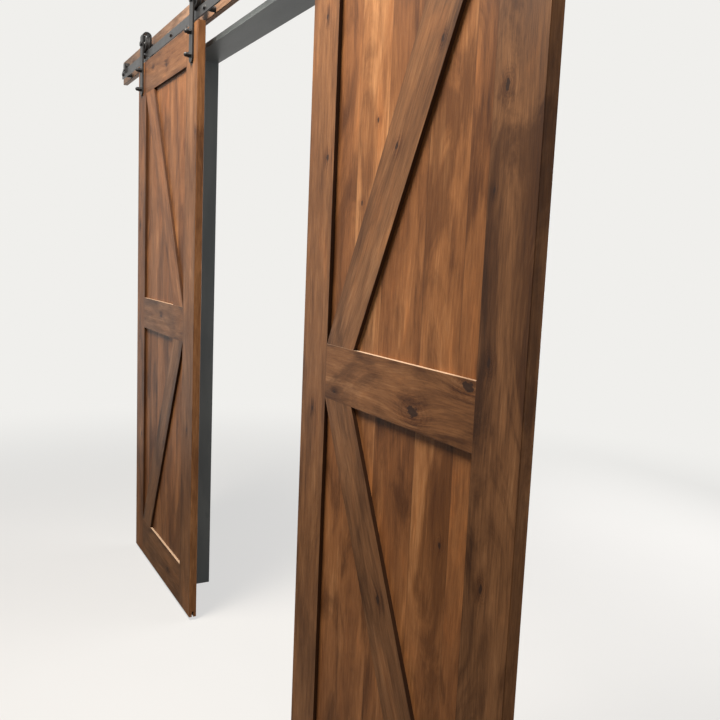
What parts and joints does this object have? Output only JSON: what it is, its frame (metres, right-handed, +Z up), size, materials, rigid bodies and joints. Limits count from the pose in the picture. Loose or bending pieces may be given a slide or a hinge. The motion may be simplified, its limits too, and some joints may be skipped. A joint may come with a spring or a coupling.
{
  "type": "sliding barn door",
  "caption": "Stained timber barn door leaves with planted braces, rolling on a flat black wall rail by folded strap hangers, with header board and doorway lining.",
  "frame": {"origin": "middle of the header board's back face, where it meets the wall", "axes": "+X along the wall to the right as seen from the room, +Y into the wall, +Z up"},
  "size_m": [3.6578, 0.2085, 2.2742],
  "materials": {
    "leaf_wood": "knotty timber with a blotchy medium brown stain, satin",
    "panel_wood": "edge-glued timber with a warmer, redder brown stain, satin",
    "header_wood": "knotty board with the same brown stain, greyer, satin",
    "lining_paint": "timber lining in satin grey-blue paint",
    "black_steel": "semi-gloss black powder coat",
    "wheel_black": "satin black, polished where it rolls",
    "bearing_steel": "ground steel",
    "black_nylon": "turned black nylon",
    "black_rubber": "matt moulded rubber"
  },
  "bodies": {
    "frame": {"header_board": "header_wood", "head_lining": "lining_paint", "left_side_lining": "lining_paint", "right_side_lining": "lining_paint", "left_rail": "black_steel", "right_rail": "black_steel", "rail_spacers": "black_steel", "rail_bolts": "black_steel", "left_end_stop": "black_steel", "right_end_stop": "black_steel", "stop_screws": "black_steel", "stop_bumpers": "black_rubber", "left_floor_guide": "black_steel", "right_floor_guide": "black_steel", "guide_screws": "black_steel"},
    "left_leaf": {"left_outer_stile": "leaf_wood", "left_inner_stile": "leaf_wood", "left_top_rail": "leaf_wood", "left_mid_rail": "leaf_wood", "left_bottom_rail": "leaf_wood", "left_upper_panel": "panel_wood", "left_lower_panel": "panel_wood", "left_upper_brace": "leaf_wood", "left_lower_brace": "leaf_wood", "left_inner_hanger": "black_steel", "left_outer_hanger": "black_steel", "left_hanger_bolts": "black_steel", "left_cap_nuts": "black_steel", "left_axle_bolts": "black_steel", "left_axle_nuts": "black_steel", "left_anti_jump_discs": "black_nylon", "left_disc_screws": "black_steel"},
    "left_inner_roller": {"left_inner_wheel": "wheel_black", "left_inner_bearing": "bearing_steel"},
    "left_outer_roller": {"left_outer_wheel": "wheel_black", "left_outer_bearing": "bearing_steel"},
    "right_leaf": {"right_outer_stile": "leaf_wood", "right_inner_stile": "leaf_wood", "right_top_rail": "leaf_wood", "right_mid_rail": "leaf_wood", "right_bottom_rail": "leaf_wood", "right_upper_panel": "panel_wood", "right_lower_panel": "panel_wood", "right_upper_brace": "leaf_wood", "right_lower_brace": "leaf_wood", "right_inner_hanger": "black_steel", "right_outer_hanger": "black_steel", "right_hanger_bolts": "black_steel", "right_cap_nuts": "black_steel", "right_axle_bolts": "black_steel", "right_axle_nuts": "black_steel", "right_anti_jump_discs": "black_nylon", "right_disc_screws": "black_steel"},
    "right_inner_roller": {"right_inner_wheel": "wheel_black", "right_inner_bearing": "bearing_steel"},
    "right_outer_roller": {"right_outer_wheel": "wheel_black", "right_outer_bearing": "bearing_steel"}
  },
  "joints": [
    {"name": "left_leaf_slide", "type": "slide", "parent": "frame", "child": "left_leaf", "axis": [1, 0, 0], "range_m": [-0.3105, 0.46]},
    {"name": "left_inner_wheel_spin", "type": "hinge", "parent": "left_leaf", "child": "left_inner_roller", "pos_m": [-0.5275, -0.055, 0.0073], "axis": [0, 1, 0], "range_deg": [-600, 900]},
    {"name": "left_outer_wheel_spin", "type": "hinge", "parent": "left_leaf", "child": "left_outer_roller", "pos_m": [-1.236, -0.055, 0.0073], "axis": [0, 1, 0], "range_deg": [-600, 900]},
    {"name": "right_leaf_slide", "type": "slide", "parent": "frame", "child": "right_leaf", "axis": [1, 0, 0], "range_m": [-0.46, 0.3105]},
    {"name": "right_inner_wheel_spin", "type": "hinge", "parent": "right_leaf", "child": "right_inner_roller", "pos_m": [0.5275, -0.055, 0.0073], "axis": [0, 1, 0], "range_deg": [-900, 600]},
    {"name": "right_outer_wheel_spin", "type": "hinge", "parent": "right_leaf", "child": "right_outer_roller", "pos_m": [1.236, -0.055, 0.0073], "axis": [0, 1, 0], "range_deg": [-900, 600]}
  ],
  "couplings": [
    {"joint": "left_inner_wheel_spin", "follows": "left_leaf_slide", "rad_per_m": 33.333},
    {"joint": "left_outer_wheel_spin", "follows": "left_leaf_slide", "rad_per_m": 33.333},
    {"joint": "right_inner_wheel_spin", "follows": "right_leaf_slide", "rad_per_m": 33.333},
    {"joint": "right_outer_wheel_spin", "follows": "right_leaf_slide", "rad_per_m": 33.333}
  ]
}
